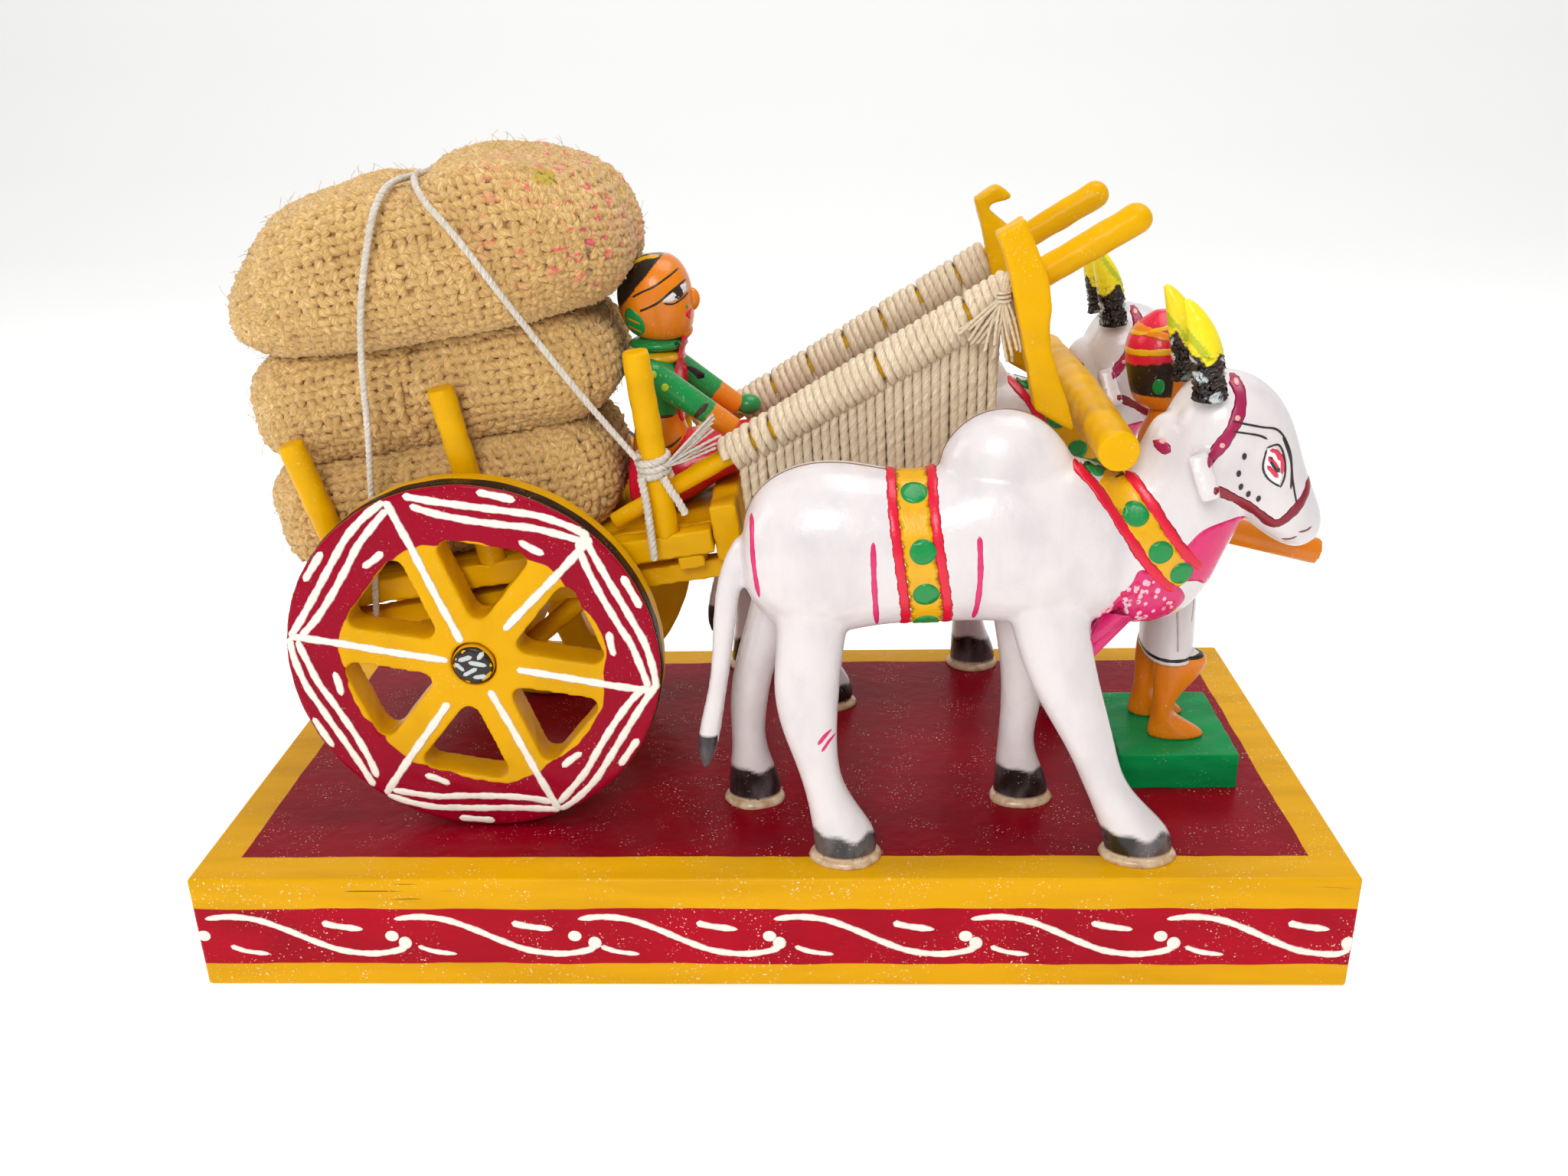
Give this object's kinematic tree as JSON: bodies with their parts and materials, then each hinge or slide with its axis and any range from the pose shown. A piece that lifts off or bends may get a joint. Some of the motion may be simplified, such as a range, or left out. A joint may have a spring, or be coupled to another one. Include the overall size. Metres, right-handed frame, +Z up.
{
  "type": "painted wooden bullock cart toy",
  "caption": "Hand-painted wooden cart on a plinth, drawn by yoked oxen, loaded with tied jute sacks, with a seated driver, a standing man and turning spoked wheels.",
  "frame": {"origin": "middle of the plinth underside", "axes": "+X is the way the oxen face, +Y goes from the near side to the far side, +Z is up"},
  "size_m": [0.254, 0.118, 0.1782],
  "materials": {
    "plinth_enamel": "gloss enamel, crimson panel with a yellow border",
    "wheel_enamel": "gloss enamel, crimson rim and yellow spokes",
    "axle_enamel": "black enamel with silver dabs",
    "cart_enamel": "gloss yellow enamel",
    "jute_sacking": "coarse plain-woven jute",
    "cotton_cord": "twisted cotton cord",
    "cotton_string": "thin twisted cotton string",
    "doll_enamel": "gloss enamel in orange, green and red",
    "block_enamel": "gloss green enamel",
    "ox_enamel": "white enamel over a chalk ground",
    "horn_enamel": "gloss enamel, black base and yellow tip",
    "brushwork_enamel": "raised brush strokes of enamel",
    "glue": "dried glue"
  },
  "bodies": {
    "wheel_near": {"wheel_near": "wheel_enamel"},
    "wheel_far": {"wheel_far": "wheel_enamel"},
    "cart": {"axle": "axle_enamel", "axle_bolster": "cart_enamel", "cross_bars": "cart_enamel", "driver_arm_far": "doll_enamel", "driver_arm_near": "doll_enamel", "driver_head": "doll_enamel", "driver_skirt": "doll_enamel", "driver_trunk": "doll_enamel", "floor_planks": "cart_enamel", "front_board": "cart_enamel", "load_string": "cotton_string", "long_beam_far": "cart_enamel", "long_beam_near": "cart_enamel", "man_arms": "doll_enamel", "man_block": "block_enamel", "man_body": "doll_enamel", "man_head": "doll_enamel", "man_legs": "doll_enamel", "ox_far_body": "ox_enamel", "ox_far_ears": "ox_enamel", "ox_far_head": "ox_enamel", "ox_far_horns": "horn_enamel", "ox_far_leg_fore_inner": "ox_enamel", "ox_far_leg_fore_outer": "ox_enamel", "ox_far_leg_hind_inner": "ox_enamel", "ox_far_leg_hind_outer": "ox_enamel", "ox_far_tail": "ox_enamel", "ox_near_body": "ox_enamel", "ox_near_ears": "ox_enamel", "ox_near_head": "ox_enamel", "ox_near_horns": "horn_enamel", "ox_near_leg_fore_inner": "ox_enamel", "ox_near_leg_fore_outer": "ox_enamel", "ox_near_leg_hind_inner": "ox_enamel", "ox_near_leg_hind_outer": "ox_enamel", "ox_near_tail": "ox_enamel", "plinth": "plinth_enamel", "post_far": "cart_enamel", "post_near": "cart_enamel", "sack_lower": "jute_sacking", "sack_middle": "jute_sacking", "sack_upper": "jute_sacking", "shaft_cord_far": "cotton_cord", "shaft_cord_near": "cotton_cord", "shaft_far": "cart_enamel", "shaft_near": "cart_enamel", "side_plank_far": "cart_enamel", "side_plank_near": "cart_enamel", "stake_knot_far": "cotton_string", "stake_knot_near": "cotton_string", "stakes_far": "cart_enamel", "stakes_near": "cart_enamel", "stay_string_far": "cotton_string", "stay_string_near": "cotton_string", "strut_far": "cart_enamel", "strut_near": "cart_enamel", "yoke": "cart_enamel"}
  },
  "joints": [
    {"name": "wheel_near_spin", "type": "hinge", "parent": "cart", "child": "wheel_near", "pos_m": [-0.064, -0.03365, 0.0698], "axis": [0, 1, 0], "continuous": true},
    {"name": "wheel_far_spin", "type": "hinge", "parent": "cart", "child": "wheel_far", "pos_m": [-0.064, 0.03365, 0.0698], "axis": [0, 1, 0], "continuous": true}
  ]
}
